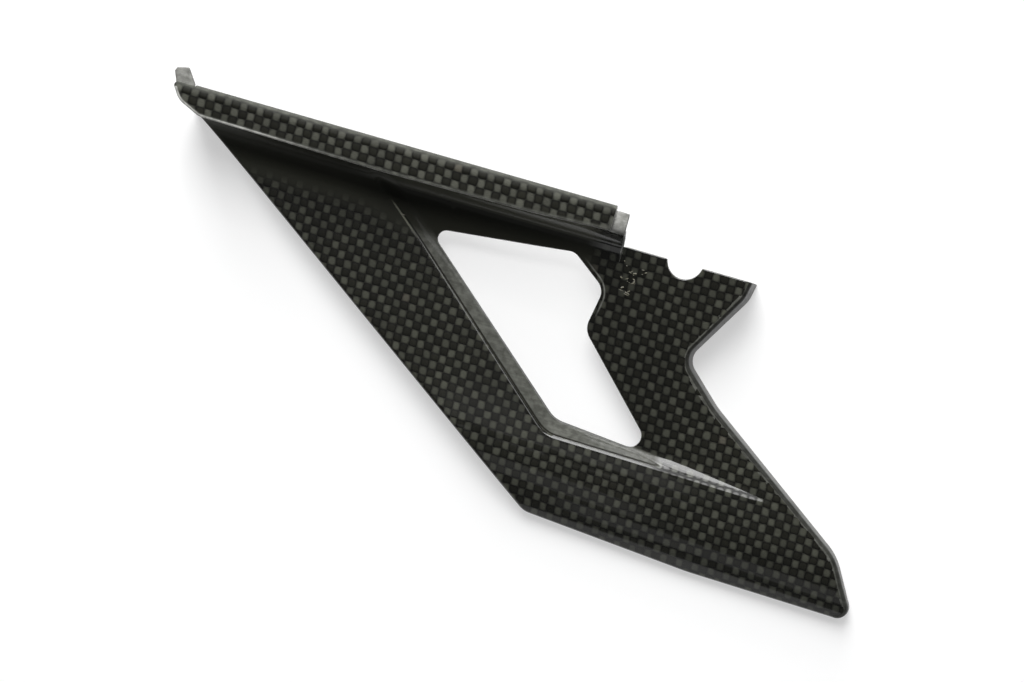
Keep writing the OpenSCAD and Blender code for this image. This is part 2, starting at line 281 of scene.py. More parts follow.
# One closed mesh from the two faces of a sheet and its edge chains. ringChains
# holds, for each loop, the chain that ends and the chain that starts each point
def closedSheet(name, plan, triangles, rings, outer, inner, normals, ringChains, marks):
    count = len(plan)
    places = [outer, inner]
    facings = [normals, -normals]
    flats = [plan, plan]
    bare = [np.zeros(2 * count)]
    wall = [np.zeros(2 * count)]
    back = [np.zeros(count), np.ones(count)]
    homes = list(range(count)) * 2
    faces = [tuple(t) for t in triangles] + [tuple(count + i for i in t[::-1]) for t in triangles]
    caps = []
    total = 2 * count
    for ring, chains in zip(rings, ringChains):
        known = {}
        for k in range(len(ring)):
            for chain in chains[k]:
                if id(chain) in known:
                    continue
                points = np.array(chain["points"])
                steps = np.linalg.norm(np.diff(points, axis=0), axis=1).cumsum()
                inside = len(points) - 2
                places.append(points[1:-1])
                facings.append(np.array(chain["normals"])[1:-1])
                flats.append(plan[ring[k]] + chain["out"] * steps[:-1, None])
                bare.append(np.array(chain["bare"])[1:-1])
                back.append(np.array(chain["back"])[1:-1])
                wall.append(np.full(inside, float(len(points) == len(skirtBare))))
                homes += [ring[k]] * inside
                known[id(chain)] = [ring[k], *range(total, total + inside), count + ring[k]]
                total += inside
        for k in range(len(ring)):
            ending, starting = (known[id(chain)] for chain in chains[k])
            following = known[id(chains[(k + 1) % len(ring)][0])]
            for j in range(len(starting) - 1):
                faces.append((following[j], starting[j], starting[j + 1], following[j + 1]))
            if ending is not starting:  # two kinds of edge meet in a flat cut
                caps.append(len(faces))
                faces.append(tuple(ending + starting[-2:0:-1]))
    mesh = bpy.data.meshes.new(name)
    mesh.from_pydata((np.concatenate(places) + (0, 0, baseZ)) * millimetre, [], faces)
    piece = bpy.data.objects.new(name, mesh)
    bpy.context.scene.collection.objects.link(piece)
    corner = np.zeros(len(mesh.loops), np.int32)
    mesh.loops.foreach_get("vertex_index", corner)
    layer = mesh.uv_layers.new(name="laminate")
    flats = np.concatenate(flats) * millimetre
    layer.data.foreach_set("uv", flats[corner].astype(np.float32).ravel())
    homes = np.array(homes)
    columns = {title: values[homes] for title, values in marks.items()}
    columns |= {"bareRim": np.concatenate(bare), "innerSide": np.concatenate(back),
                "onWall": np.concatenate(wall)}
    for title, values in columns.items():
        attribute = mesh.attributes.new(title, "FLOAT", "POINT")
        attribute.data.foreach_set("value", values.astype(np.float32))
    smooth = np.ones(len(faces), bool)
    smooth[caps] = False
    mesh.polygons.foreach_set("use_smooth", smooth)
    facings = np.concatenate(facings)
    facings /= np.maximum(np.linalg.norm(facings, axis=1), 1e-6)[:, None]
    loopNormals = facings[corner]
    for k in caps:
        polygon = mesh.polygons[k]
        loopNormals[polygon.loop_start:polygon.loop_start + polygon.loop_total] = polygon.normal
    mesh.normals_split_custom_set(loopNormals.tolist())
    return piece


# Where a skirt's chain is bare laminate and where it is the inner side
skirtBare = [0] * 7 + [0.3, 1, 1, 0.3, 0, 0]
skirtBack = [0] * 9 + [1] * 4
rimBare = [0, 0.4, 0.9, 1, 1, 0.9, 0.4, 0]
rimBack = [0, 0, 0, 0, 1, 1, 1, 1]


def rimChains(plan, ring, picks, outer, inner, normals, across, along, sizes):
    loop = plan[ring]
    right = rightOf(loop, closed=True)
    chains = {}
    for k in picks:
        i = ring[k]
        out = across[i] * right[k, 0] + along[i] * right[k, 1]
        out = out - normals[i] * (out @ normals[i])
        points, ways = rimChain(outer[i], inner[i], normals[i], unit(out), sizes[k])
        chains[k] = {"points": points, "normals": ways, "out": right[k], "bare": rimBare, "back": rimBack}
    return chains


# Shell

form = shellForm
tilt, turnAngle = math.radians(form["panelTilt"]), math.radians(form["panelTurn"])
rise = math.tan(tilt) * np.array((math.cos(turnAngle), math.sin(turnAngle)))
bendCentre = np.array((form["webY"] + form["bendRadius"], form["railHeight"] - form["bendRadius"]))
webAngle = math.radians(90 - form["webLean"])
filletStart = form["webY"] - form["filletRadius"]
filletEnd = filletStart + form["filletRadius"] * webAngle
webEnd = filletEnd + form["webRise"]
bendEnd = webEnd + form["bendRadius"] * webAngle
flangeEnd = bendEnd + form["flangeWidth"] - form["bendRadius"]
flangeY = form["webY"] + form["flangeWidth"]
stripY = flangeY + stripForm["thickness"]
tabLeft = form["railStart"] + stripForm["inset"]
tabRight = tabLeft + form["tabWidth"]

windowElbow = np.array(form["window"])
windowRight = windowElbow + form["windowBottom"] * slopeVector(form["bottomSlope"])
windowTop = windowElbow + form["windowLeft"] * slopeVector(180 - form["windowSlope"])
windowArm = windowRight + form["windowRight"] * slopeVector(180 - form["rightSlope"])
windowRail = windowTop + form["windowTop"] * slopeVector(form["topSlope"])
windowCorners = [windowElbow, windowRight, windowArm, windowArm + form["windowNeck"], windowRail, windowTop]

elbow, tip = np.array(form["elbow"]), np.array(form["tip"])
creaseStart = np.array((form["creaseStart"][0], form["webY"] + form["creaseStart"][1]))
creaseTop = windowTop + form["creaseTop"]
lead = unit(creaseStart - creaseTop) * form["creaseReach"]
meet = np.array((form["meet"][0], elbow[1] + form["meet"][1]))
creaseLine = roundedLine([
    creaseStart + lead, creaseTop,
    windowElbow + form["creaseElbow"] - (0, form["bevelWidth"]), windowRight + form["creaseRight"],
    meet, meet + (60, -1.5),
], [0, 4, form["creaseRadius"], form["runOutRadius"], 0, 0], closed=False)
footLine = roundedLine([
    creaseStart + form["footStart"] + lead, windowTop + form["footTop"],
    windowElbow, windowRight, meet + (0, 0.3), meet + (60, -0.9),
], [0, 2, form["windowRadii"][0], form["runOutRadius"], 0, 0], closed=False)

bottomRight = unit(np.array((tip[1] - elbow[1], elbow[0] - tip[0])))  # outwards from the bottom edge
bow = (elbow + tip) / 2 + bottomRight * form["bottomBow"]
leftWay = slopeVector(180 - form["leftSlope"])
leftOut = np.array((-leftWay[1], leftWay[0]))
topY = 12.0  # beyond the trimmed edges, where the outline is cut off
leftTop = elbow + leftWay * (topY - elbow[1]) / leftWay[1]
lugTurn = np.array((form["lugReach"] - form["lugLean"] * 0.375, -form["lugSide"]))
outlineBase = splitLine(roundedLine([
    leftTop, elbow, bow, tip, form["shoulder"], form["hip"], form["waist"],
    lugTurn, (lugTurn[0] + form["lugLean"], topY),
], [0, form["elbowRadius"], form["bowRadius"], form["tipRadius"], form["shoulderRadius"],
    form["hipRadius"], form["waistRadius"], form["lugRadius"], 0], closed=False), form["lineStep"])


def panelHeight(p):
    return form["lugHeight"] + p @ rise


# Height of the outer face over the plan, without the rail
def faceHeight(p):
    panel, band = panelHeight(p), form["bandHeight"]
    inCrease = distanceFrom(p, creaseLine)
    drop = np.minimum(panel - band, 0) / np.maximum(inCrease - distanceFrom(p, footLine), 0.3)
    bevel = smoothMin(band, band + drop * inCrease, -drop * form["creaseRound"])
    # the foot gets rounder right of the window
    runOut = np.clip((p[:, 0] - form["runOutFrom"]) / form["runOutOver"], 0, 1)
    foot = form["creaseRound"] * (1 - runOut) + form["footRound"] * runOut
    soft = np.minimum(-drop * foot, np.abs(panel - band) * 1.5)
    top = smoothMax(panel, bevel, np.maximum(soft, 0.15))
    over = form["rollWidth"] - (elbow - p) @ bottomRight  # how far into the rolled bottom edge
    radius = form["rollRadius"]
    roll = np.where(over > 0, band - radius + np.sqrt(radius ** 2 - np.clip(over, 0, 20) ** 2),
                    band - form["rollFar"] * over)
    return smoothMin(top, roll, form["rollSoft"])


# The outer face: flat plan up to the fillet, then the rail's section unrolled
def placeShell(plan, home):
    u, v = plan[:, 0], plan[:, 1]
    rail = (home[:, 0] <= form["railEnd"] + 0.01) & (home[:, 1] > filletStart)
    turn = np.clip((v - filletStart) / form["filletRadius"], 0, webAngle)
    filletY = filletStart + form["filletRadius"] * np.sin(turn)
    y = np.where(rail, np.where(v > filletStart, filletY, v), v)
    z = faceHeight(np.stack((u, y), axis=1))
    z = z + np.where(rail, form["filletRadius"] * (1 - np.cos(turn)), 0)
    bend = webAngle - np.clip((v - webEnd) / form["bendRadius"], 0, webAngle)
    bendY = bendCentre[0] - form["bendRadius"] * np.sin(bend)
    bendZ = bendCentre[1] + form["bendRadius"] * np.cos(bend)
    t = np.clip((v - filletEnd) / (webEnd - filletEnd), 0, 1)
    y = np.where(rail & (v > filletEnd), y * (1 - t) + bendY * t, y)
    z = np.where(rail & (v > filletEnd), z * (1 - t) + bendZ * t, z)
    y = np.where(rail & (v > webEnd), bendY + np.maximum(v - bendEnd, 0), y)
    z = np.where(rail & (v > webEnd), bendZ, z)
    return np.stack((u, y, z), axis=1)


def innerShell(plan, outer, normals):
    slope = np.minimum(1 / np.maximum(normals[:, 2], 0.4), 1.6)
    straight = np.zeros_like(normals)
    straight[:, 2] = slope
    t = np.clip((plan[:, 1] - filletStart) / 3, 0, 1)[:, None]
    t = np.where(plan[:, :1] <= form["railEnd"] + 0.01, t, 0)
    return outer - (straight * (1 - t) + normals * t) * form["wall"]


# Top of the side walls: the base outline moved in by draft and shoulder
def skirtTops(rounds=4):
    slope = math.tan(math.radians(form["draft"]))
    plan, outs = [], []
    for v in np.arange(bendEnd + 2.4, filletStart, -0.7):  # down the rail's end
        at = np.array([[leftTop[0], v]])
        y = placeShell(at, at)[0, 1]
        edgeX = elbow[0] + leftWay[0] * (y - elbow[1]) / leftWay[1]
        inset = 1.0
        for _ in range(rounds):
            at = np.array([[edgeX - inset / leftOut[0], v]])
            normal = facing(placeShell, at)[0][0]
            inset = slope * placeShell(at, at)[0, 2] + form["shoulderRound"] * (1 - normal[:2] @ leftOut)
        plan.append((edgeX - inset / leftOut[0], v))
        outs.append(leftOut)
    outlineRight = rightOf(outlineBase)
    inset = np.full(len(outlineBase), 1.0)
    for _ in range(rounds):
        at = outlineBase - outlineRight * inset[:, None]
        home = np.where(at[:, 1:] > filletStart, (0, 0), at)
        normal = facing(lambda p, _: placeShell(p, home), at)[0]
        turned = 1 - (normal[:, :2] * outlineRight).sum(axis=1)
        inset = slope * placeShell(at, home)[:, 2] + form["shoulderRound"] * turned
    at = outlineBase - outlineRight * inset[:, None]
    keep = (at[:, 1] < filletStart - 0.3) | ((at[:, 0] > 0) & (at[:, 1] < 5))
    return np.concatenate((plan, at[keep])), np.concatenate((outs, outlineRight[keep]))


# Where a row of chains crosses the plane y = cut, one point for each step
def cutChains(points, normals, plan, cut, last):
    found, facings = [], []
    flat = None
    for j in range(points.shape[1]):
        y = points[:, j, 1] - cut
        hits = np.nonzero(y[:-1] * y[1:] <= 0)[0]
        i = hits[-1] if last else hits[0]
        t = y[i] / (y[i] - y[i + 1])
        found.append(points[i, j] * (1 - t) + points[i + 1, j] * t)
        facings.append(normals[i, j] * (1 - t) + normals[i + 1, j] * t)
        if j == 0:
            flat = plan[i] * (1 - t) + plan[i + 1] * t
    return np.array(found), np.array(facings), flat


def flangePlan(x, y):
    return np.array((x, bendEnd + y - bendCentre[0]))


# The trimmed edge from the lug round notch, slit, flange and tab
def trimLine(lugEnd):
    rounding, slit, step = form["edgeRound"], form["railEnd"], form["lineStep"]
    edgeY = -form["lugDrop"] - rounding
    notch = form["notchRadius"] + rounding
    side = math.asin((edgeY - form["notchShift"][1]) / notch)
    arc = [np.array((math.cos(a), math.sin(a))) * notch + form["notchShift"]
           for a in np.linspace(side, -math.pi - side, 19)]
    lugX, flangeX, farEdge = slit + form["lugGap"], slit - rounding, flangeEnd - rounding
    noseX, slantX = form["railStart"] + rounding, tabRight - rounding
    tabTop = stripY + form["tabReach"] - rounding
    (a, b), (c, d) = form["tabNose"]
    return np.concatenate((
        splitLine((lugEnd, (lugEnd[0] - form["lugSlant"], edgeY), arc[0]), step)[1:-1],
        arc,
        splitLine((arc[-1], (lugX, edgeY)), step)[1:],
        splitLine(((lugX, edgeY - form["cornerCut"]), (lugX, filletStart + 0.3)), step),
        [(slit - 0.1, filletStart + 0.05)],
        splitLine(((flangeX, filletStart + 0.5), (flangeX, farEdge)), step),
        splitLine(((flangeX, farEdge), flangePlan(tabRight - rounding * 0.6, flangeY - rounding)), 0.9)[1:],
        splitLine([flangePlan(x, y) for x, y in (
            (slantX, stripY), (slantX - form["tabSlant"], tabTop), (tabLeft + a, tabTop + b),
            (tabLeft + c + rounding, tabTop + d), (tabLeft + rounding, stripY),
            (noseX + form["noseInset"], flangeY), *((noseX + x, y) for x, y in form["railNose"]))],
            form["trimStep"])))


def nearCrease(p):
    d, e = distanceFrom(p, creaseLine), distanceFrom(p, footLine)
    return (d > -form["fineReach"]) & (e < form["fineReach"]) & (p[:, 1] < form["webY"])


def makeShell():
    tops, outs = skirtTops()
    outer = placeShell(tops, tops)
    normal, _, _ = facing(placeShell, tops)
    points, ways = skirtChains(outer, innerShell(tops, outer, normal), normal, outs, form)
    leftCut, lugCut = form["webY"] + form["wall"], -form["lugDrop"]
    startPoints, startWays, startPlan = cutChains(points, ways, tops, leftCut, False)
    endPoints, endWays, endPlan = cutChains(points, ways, tops, lugCut, True)
    y = outer[:, 1]
    middle = np.nonzero((y < leftCut - 0.1) & ((tops[:, 0] <= 0) | (y < lugCut - 0.1)))[0]

    rounding = form["edgeRound"]
    loop = np.concatenate(([startPlan], tops[middle], [endPlan], trimLine(endPlan)))
    hole = splitLine(roundedLine(windowCorners, form["windowRadii"]), form["windowStep"], closed=True)
    hole = (hole + rightOf(hole, closed=True) * rounding)[::-1]
    inner = [innerPoints([loop, hole], form["grid"], lambda p: ~nearCrease(p)),
             innerPoints([loop, hole], form["fineGrid"], nearCrease)]
    plan, triangles, (first, second) = planMesh([loop, hole], inner)
    outer = placeShell(plan, plan)
    normals, across, along = facing(placeShell, plan)
    inner = innerShell(plan, outer, normals)
    last = 1 + len(middle)
    skirts = {k + 1: {"points": points[i], "normals": ways[i], "out": outs[i]} for k, i in enumerate(middle)}
    skirts[0] = {"points": startPoints, "normals": startWays, "out": leftOut}
    skirts[last] = {"points": endPoints, "normals": endWays, "out": outs[-1]}
    for k, skirt in skirts.items():
        outer[first[k]], inner[first[k]] = skirt["points"][0], skirt["points"][-1]
        skirt["bare"], skirt["back"] = skirtBare, skirtBack

    size = np.full(len(loop), rounding)
    size[last] = size[0] = form["thinEdge"]
    for k in range(last + 1, len(loop)):
        if abs(loop[k, 0] - form["railEnd"] - form["lugGap"]) < 0.001:  # tucked under the rail's end
            outer[first[k], 0] -= 0.5
            inner[first[k], 0] -= 0.5
            size[k] = form["thinEdge"]
    rims = rimChains(plan, first, [0, *range(last, len(loop))], outer, inner, normals, across, along, size)
    chains = [(skirts.get(k) or rims[k],) * 2 for k in range(len(loop))]
    chains[0], chains[last] = (rims[0], skirts[0]), (skirts[last], rims[last])
    windowSize = np.full(len(hole), rounding)
    windowRims = rimChains(plan, second, range(len(hole)), outer, inner, normals, across, along, windowSize)

    def lineMark(line):
        return np.abs(distanceFrom(plan, line)) * millimetre

    windowHighlightLine = roundedLine([windowCorners[4] - (6, 0.7), *windowCorners[4:1:-1]], [0, 5, 5, 0], closed=False)
    rightLine = np.array([p for p in loop[:last + 1] if p[0] > 5 and p[1] > -72 or p[0] > 59.5])
    marks = {
        "creaseDistance": distanceFrom(plan, creaseLine) * millimetre,
        "footDistance": -distanceFrom(plan, footLine) * millimetre,
        "rightEdge": lineMark(rightLine), "windowHighlightDistance": lineMark(windowHighlightLine),
    }
    return closedSheet("wovenShell", plan, triangles, [first, second], outer, inner, normals,
                       [chains, [(windowRims[k],) * 2 for k in range(len(hole))]], marks)


shell = makeShell()
print("shell built:", len(shell.data.polygons), "faces")


# Bonded strip

stripBend = 2 * stripForm["thickness"]
stripBendStart = stripY - stripBend
stripBendEnd = stripBendStart + stripBend * math.pi / 2


# How far each point has turned round the bend and gone down from it
def stripTurn(plan):
    turn = np.clip((plan[:, 1] - stripBendStart) / stripBend, 0, math.pi / 2)
    return turn, np.maximum(plan[:, 1] - stripBendEnd, 0)


# The strip's outer face: flat, round the bend and down over the flange's edge
def placeStrip(plan, home):
    turn, down = stripTurn(plan)
    y = np.minimum(plan[:, 1], stripBendStart) + stripBend * np.sin(turn)
    z = stripTop - stripBend * (1 - np.cos(turn)) - down
    return np.stack((plan[:, 0], y, z), axis=1)


# The inner face keeps the square corner that the flange fills
def innerStrip(plan):
    turn, down = stripTurn(plan)
    widest = np.maximum(np.sin(turn), np.cos(turn))
    thickness = stripForm["thickness"]
    y = np.minimum(plan[:, 1], stripBendStart) + thickness * np.sin(turn) / widest
    z = stripTop - stripBend + thickness * np.cos(turn) / widest - down
    z = np.where(plan[:, 0] < tabRight, np.maximum(z, form["railHeight"]), z)
    return np.stack((plan[:, 0], y, z), axis=1)


def makeStrip():
    rounding = stripForm["edgeRound"]
    left, right = tabLeft + rounding, form["railEnd"] - stripForm["short"] - rounding
    edge = form["webY"] - stripForm["overhang"] + rounding
    draw, nose, noseEnd = stripForm["draw"], stripForm["noseStart"], stripForm["noseEnd"]
    tabSide = tabRight + rounding
    farEdge = stripBendEnd + stripForm["windowHighlight"] - stripBend - rounding
    tabEdge = stripBendStart + stripBend * math.pi / 3  # where the bend meets the tab's top
    corners = [
        (tabSide, farEdge), (tabSide, tabEdge), (left, tabEdge), (left, flangeY),
        (tabLeft + nose[0], form["webY"] + nose[1]), (tabLeft + noseEnd[0], edge + noseEnd[1]),
        (tabLeft + stripForm["edgeFrom"], edge),
        (right + rounding - stripForm["drawFrom"], edge + draw * stripForm["drawShare"]),
        (right, edge + draw), (right, farEdge),
    ]
    small, large = stripForm["endRadius"], stripForm["longRadius"]
    line = roundedLine(corners, [0, 0, 0, 0, small, small, large, large, 0, 0])
    loop = splitLine(line, form["lineStep"], closed=True)
    plan, triangles, rings = planMesh([loop], [innerPoints([loop], stripForm["grid"])])
    outer = placeStrip(plan, plan)
    normals, across, along = facing(placeStrip, plan)
    inner = innerStrip(plan)
    size = np.where((loop[:, 0] < tabRight + 0.5) & (loop[:, 1] > tabEdge - 0.1), form["thinEdge"], rounding)
    rims = rimChains(plan, rings[0], range(len(loop)), outer, inner, normals, across, along, size)
    chains = [[(rims[k],) * 2 for k in range(len(loop))]]
    low = np.array([p for p in loop if p[1] < form["webY"] + (5.4 if p[0] < tabLeft + 3 else 3.5)])
    marks = {"lowEdge": np.abs(distanceFrom(plan, low[np.argsort(low[:, 0])])) * millimetre}
    return closedSheet("wovenStrip", plan, triangles, rings, outer, inner, normals, chains, marks)


strip = makeStrip()
print("strip built:", len(strip.data.polygons), "faces")


# Node helpers

# A value on its way through a node tree, so that masks read as plain sums
class Wire:
    def __init__(self, socket):
        self.socket = socket

    def __add__(self, other):
        return calc("ADD", self, other)

    def __sub__(self, other):
        return calc("SUBTRACT", self, other)

    def __rsub__(self, other):
        return calc("SUBTRACT", other, self)

    def __mul__(self, other):
        return calc("MULTIPLY", self, other)

    def __truediv__(self, other):
        return calc("DIVIDE", self, other)

    def __abs__(self):
        return calc("ABSOLUTE", self)

    __radd__, __rmul__ = __add__, __mul__

    # A smooth change from one value to another between two places
    def ramp(self, low, high, toLow=0.0, toHigh=1.0):
        return wired(self.socket.id_data, "ShaderNodeMapRange", {
            "Value": self, "From Min": low, "From Max": high, "To Min": toLow, "To Max": toHigh},
            interpolation_type="SMOOTHSTEP")

    def fall(self, low, high):
        return self.ramp(low, high, 1.0, 0.0)


def connect(value, socket):
    value = value.socket if isinstance(value, Wire) else value
    if isinstance(value, bpy.types.NodeSocket):
        socket.id_data.links.new(value, socket)
    else:
        socket.default_value = value


# One node with its inputs set or wired. A key is a socket's name or number
def place(tree, kind, wires=(), **settings):
    node = tree.nodes.new(kind)
    for name, value in settings.items():
        setattr(node, name, value)
    for key, value in dict(wires).items():
        connect(value, node.inputs[key])
    return node


# The first output of a node, or the one that is named
def wired(tree, kind, wires=(), output=0, **settings):
    return Wire(place(tree, kind, wires, **settings).outputs[output])


def treeOf(*values):
    return next(value.socket.id_data for value in values if isinstance(value, Wire))


def calc(operation, *values):
    return wired(treeOf(*values), "ShaderNodeMath", dict(enumerate(values)), operation=operation)


def larger(a, b):
    return calc("MAXIMUM", a, b)


def between(amount, a, b):
    return wired(treeOf(amount, a, b), "ShaderNodeMix", {"Factor": amount, 2: a, 3: b}, data_type="FLOAT")


def blend(amount, a, b, kind="MIX"):
    node = place(treeOf(amount, a, b), "ShaderNodeMix", {"Factor": amount}, data_type="RGBA", blend_type=kind)
    for key, value in (("A", a), ("B", b)):
        socket = [s for s in node.inputs if s.name == key and s.type == "RGBA"][0]
        connect(value if isinstance(value, Wire) else (*value, 1), socket)
    return Wire([s for s in node.outputs if s.type == "RGBA"][0])


def tinted(colour, tint):
    return blend(1.0, colour, tint, "MULTIPLY")


def greyOf(level):
    return wired(treeOf(level), "ShaderNodeCombineColor", {0: level, 1: level, 2: level})


def join(x, y):
    return wired(treeOf(x, y), "ShaderNodeCombineXYZ", {0: x, 1: y})


def split(value, kind="XYZ"):
    return [Wire(s) for s in place(treeOf(value), "ShaderNodeSeparate" + kind, {0: value}).outputs]


# A noise's level and its colour
def noise(vector, scale, detail):
    node = place(treeOf(vector), "ShaderNodeTexNoise", {"Vector": vector, "Scale": scale, "Detail": detail})
    return Wire(node.outputs["Fac"]), Wire(node.outputs["Color"])


def mark(tree, name):
    return wired(tree, "ShaderNodeAttribute", output="Fac", attribute_name=name)


def newGroup(name, inputs, outputs, kind="ShaderNodeTree"):
    tree = bpy.data.node_groups.new(name, kind)
    for way, sockets in (("INPUT", inputs), ("OUTPUT", outputs)):
        for title, socket in sockets.items():
            tree.interface.new_socket(title, in_out=way, socket_type="NodeSocket" + socket)
    given = {s.name: Wire(s) for s in tree.nodes.new("NodeGroupInput").outputs if s.name in inputs}
    return tree, given, tree.nodes.new("NodeGroupOutput").inputs


def useGroup(tree, group, **wires):
    return {s.name: Wire(s) for s in place(tree, "ShaderNodeGroup", wires, node_tree=group).outputs}


def newMaterial(name):
    material = bpy.data.materials.new(name)
    material.use_nodes = True
    material.node_tree.nodes.clear()
    return material, material.node_tree


# Weave and bare laminate

weaveForm = {
    "drift": 0.5, "driftScale": 28.0, "jostle": 0.32, "jostleScale": 330.0,  # how far tows stray, in pitches
    "edgeShape": 0.45, "endShape": 0.7, "fibreAcross": 26.0, "fibreAlong": 1.6,
    "fibreHeight": 0.12, "bareHeight": 0.35, "largeScale": 55.0,
}


# Plain weave of flat tows: crown height, which tow is on top, fine fibres and a
# chance value for each square
def towGroup():
    tree, given, wanted = newGroup(
        "plainWeaveTows", {"Place": "Vector", "Pitch": "Float", "Skew": "Float"},
        {"Crown": "Float", "Over": "Float", "Fibre": "Float", "Chance": "Float"})
    drift = split(noise(given["Place"], weaveForm["driftScale"], 1.0)[1], "Color")
    jostle = split(noise(given["Place"], weaveForm["jostleScale"], 1.0)[1], "Color")
    x, y, _ = split(given["Place"])
    across = []
    for i, value in enumerate((calc("MULTIPLY_ADD", y, given["Skew"], x), y)):
        counted = calc("MULTIPLY_ADD", drift[i], weaveForm["drift"], value / given["Pitch"])
        across.append(calc("MULTIPLY_ADD", jostle[i], weaveForm["jostle"], counted))
    cells = [calc("FLOOR", value) for value in across]
    arcs = [larger(calc("SINE", calc("FRACT", value) * math.pi), 0.0001) for value in across]
    over = calc("ROUND", calc("PINGPONG", cells[0] + cells[1], 1.0))
    crowns = [calc("POWER", arcs[i], weaveForm["edgeShape"]) * calc("POWER", arcs[1 - i], weaveForm["endShape"])
              for i in (0, 1)]
    fine, coarse = weaveForm["fibreAcross"], weaveForm["fibreAlong"]
    fibres = [noise(join(across[0] * a, across[1] * b), 1.0, 1.0)[0]
              for a, b in ((fine, coarse), (coarse, fine))]
    chance = place(tree, "ShaderNodeTexWhiteNoise", {"Vector": join(*cells)}, noise_dimensions="2D")
    connect(between(over, *crowns), wanted["Crown"])
    connect(over, wanted["Over"])
    connect(between(over, *fibres), wanted["Fibre"])
    connect(chance.outputs["Value"], wanted["Chance"])
    return tree


bareForm = {
    "cloudScale": 620.0, "darkCloud": (0.72, 0.72, 0.71), "paleCloud": (1.2, 1.2, 1.2),
    "grainScale": 2600.0, "grainHeight": 0.4, "pit": (0.02, 0.02, 0.018),
    "plyScale": 130.0, "plyStretch": (1, 14, 1), "plyShade": (0.88, 1.06), "roughness": (0.42, 0.6),
}


# Bare grey resin and cut laminate: colour, roughness and height
def bareGroup():
    tree, given, wanted = newGroup(
        "bareLaminate", {"Place": "Vector", "Colour": "Color", "Fleck": "Float"},
        {"Colour": "Color", "Roughness": "Float", "Height": "Float"})
    cloud, _ = noise(given["Place"], bareForm["cloudScale"], 5.0)
    grain, _ = noise(given["Place"], bareForm["grainScale"], 2.0)
    layered = wired(tree, "ShaderNodeMapping", {"Vector": given["Place"], "Scale": bareForm["plyStretch"]})
    plies, _ = noise(layered, bareForm["plyScale"], 2.0)
    clouded = blend(cloud.ramp(0.32, 0.68), bareForm["darkCloud"], bareForm["paleCloud"])
    colour = tinted(given["Colour"], clouded)
    colour = blend(grain.ramp(0.58, 0.66) * given["Fleck"], colour, bareForm["pit"])
    connect(tinted(colour, greyOf(plies.ramp(0.35, 0.65, *bareForm["plyShade"]))), wanted["Colour"])
    connect(cloud.ramp(0.3, 0.7, *bareForm["roughness"]), wanted["Roughness"])
    connect(cloud + grain * bareForm["grainHeight"], wanted["Height"])
    return tree


plainWeave = towGroup()
bareLaminate = bareGroup()

# Colours are linear; lengths are in metres
shellFinish = {
    "pitch": 0.00203, "skew": 0.061, "towHeight": 0.00014, "towRelief": 0.6, "towRoughness": (0.44, 0.56),
    "darkTow": (0.0098, 0.0098, 0.0070), "paleTow": (0.0430, 0.0442, 0.0343),
    "warmTow": (0.047, 0.0445, 0.035), "warmFrom": 0.994,  # the rare tow of another tint
    "uneven": 0.2, "fibreShade": (0.84, 1.16), "crownShade": (0.3, 1.15), "largeShade": (0.93, 1.07),
    "bareGrey": (0.101, 0.103, 0.091), "endGrey": (0.34, 0.34, 0.32), "cutGrey": (0.15, 0.15, 0.14),
    "fleck": 0.15, "specular": 0.06, "coat": 1.0, "coatRoughness": 0.07, "bareCoat": 0.3, "innerCoat": 0.1,
    "borderWidth": 0.0002, "shoulderShade": 0.3, "shoulderHeight": 0.011,
    # colour of the painted shade in the corner under the rail
    "resin": (0.0250, 0.0255, 0.0195),
}
stripFinish = shellFinish | {
    # the strip's paler cut grey is partly painted highlight on its rounded lower edge
    "pitch": 0.00213, "paleTow": (0.049, 0.050, 0.0405), "cutGrey": (0.31, 0.31, 0.293),
    "coat": 0.08, "coatRoughness": 0.3,
}

# Where the shell's finishes begin and end, in metres. On the plan x runs along
# the rail and v across it, unrolled. Edge, foot and line are distances from a line
shellZones = {
    "bevelEdge": (0.0001, 0.0005), "bevelFoot": (-0.0009, -0.0004),
    "bevelTopV": (-0.0115, -0.0085), "bevelRightX": (0.004, 0.009), "strayTow": 0.0007,
    "tabX": -0.127, "tabShade": 0.76, "slitWidth": 0.00035, "slitV": (-0.004, -0.002),
    # painted highlight line beside the window's upper right corner
    "windowHighlightAt": 0.0011, "windowHighlightLine": (0.0001, 0.0003), "windowHighlightX": (-0.0285, -0.0245), "windowHighlightV": (-0.0205, -0.0165),
    "armEdge": (0.001, 0.003), "armX": (-0.005, 0.038), "armShade": (0.82, 1.5),
    "cornerV": (-0.0112, -0.0062), "cornerX": (-0.0255, -0.0195),
    "cornerLeftX": (-0.085, -0.069), "cornerWiden": 0.003,
    # painted sheen band on the web; the corner's painted shade is made lighter towards the left
    "webV": (-0.0018, -0.0004), "webX": (-0.088, -0.068), "webSheenLift": 3.2, "leftX": (-0.090, -0.070),
    # painted highlight along the crease
    "creaseHighlightLine": (0.00012, 0.0003), "creaseHighlightV": (-0.0052, -0.0068), "creaseHighlightLift": 5.0,
    # painted shadow line beside the crease
    "shadowLineAt": 0.00042, "shadowLineWidth": (0.00012, 0.00034), "shadowLineV": (-0.010, -0.006),
    "shadowLineX": (0.003, 0.009), "shadowLineDepth": 0.92, "shadowLineShade": -0.6,
    "ridgeLine": (0.0008, 0.0011), "ridgeX": (0.002, 0.010), "ridgeGloss": (0.2, 0.6),
    "webGlossV": (-0.0016, -0.0006), "webGloss": -0.4, "cornerDull": 0.92,
    "borderLine": (0.0001, 0.0004), "borderX": (0.004, 0.008), "borderDull": 0.35,
}


